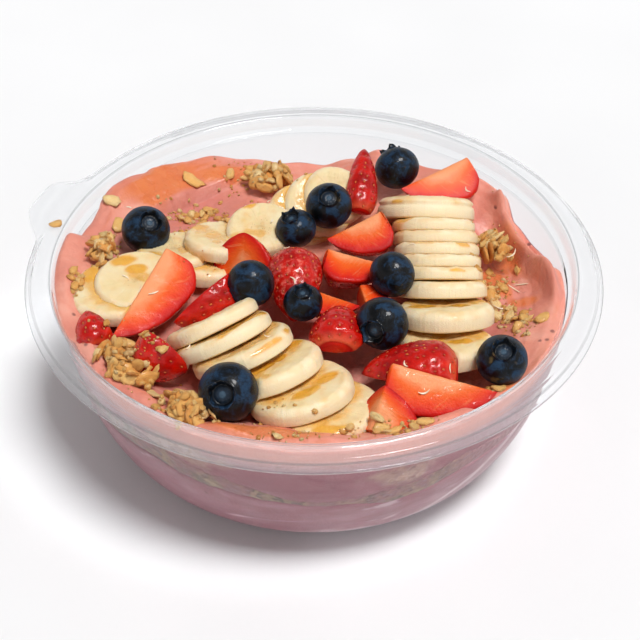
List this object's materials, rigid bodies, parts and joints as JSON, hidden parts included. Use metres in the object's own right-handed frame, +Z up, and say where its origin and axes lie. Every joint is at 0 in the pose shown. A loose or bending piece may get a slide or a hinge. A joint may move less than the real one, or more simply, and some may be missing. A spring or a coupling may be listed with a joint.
{
  "type": "acai bowl",
  "caption": "Blended acai in a clear take-away dish, topped with fans of banana slices, cut strawberries, blueberries and granola.",
  "frame": {"origin": "on the dish's axis, at the flat underside of its base", "axes": "+Z up out of the dish; -Y is the side it is seen from; the lift tab points up and left of it, 158.7 degrees from +X towards +Y"},
  "size_m": [0.1824, 0.18, 0.0724],
  "materials": {
    "clear_plastic": "clear, glossy",
    "acai_salmon": "soft blended fruit, satin",
    "acai_mauve": "soft blended fruit, satin",
    "granola": "baked, dull",
    "banana": "moist, satin",
    "strawberry": "moist, glossy",
    "blueberry": "waxy bloom over a glossy skin"
  },
  "bodies": {
    "root": {"dish": "clear_plastic", "acai_lower": "acai_mauve", "granola_layer": "granola", "acai_upper": "acai_salmon", "granola_rim_flake": "granola", "blueberry_back_left": "blueberry", "blueberry_back_right": "blueberry", "blueberry_back_middle": "blueberry", "blueberry_middle": "blueberry", "blueberry_dark": "blueberry", "blueberry_small": "blueberry", "blueberry_right_upper": "blueberry", "blueberry_right_lower": "blueberry", "blueberry_front": "blueberry", "blueberry_right": "blueberry", "strawberry_left_wedge": "strawberry", "strawberry_front_wedge": "strawberry", "strawberry_front_tip": "strawberry", "strawberry_front_half": "strawberry", "strawberry_left_second": "strawberry", "strawberry_left_low": "strawberry", "strawberry_left_end": "strawberry", "strawberry_middle_peak": "strawberry", "strawberry_back_tall": "strawberry", "strawberry_back_right": "strawberry", "strawberry_centre_back": "strawberry", "strawberry_centre_right": "strawberry", "strawberry_centre": "strawberry", "strawberry_centre_pink": "strawberry", "strawberry_centre_small": "strawberry", "strawberry_centre_front": "strawberry", "banana_left_upper": "banana", "banana_left_lower": "banana", "banana_left_behind": "banana", "banana_middle_upper": "banana", "banana_middle_second": "banana", "banana_middle_third": "banana", "banana_back_upper": "banana", "banana_back_second": "banana", "banana_back_third": "banana", "banana_front_1": "banana", "banana_front_2": "banana", "banana_front_3": "banana", "banana_front_4": "banana", "banana_front_5": "banana", "banana_front_6": "banana", "banana_right_1": "banana", "banana_right_2": "banana", "banana_right_3": "banana", "banana_right_4": "banana", "banana_right_5": "banana", "banana_right_6": "banana", "banana_right_7": "banana", "banana_right_8": "banana", "banana_right_9": "banana", "granola_front_left": "granola", "granola_front": "granola", "granola_right": "granola", "granola_back": "granola", "granola_left": "granola"}
  },
  "joints": []
}
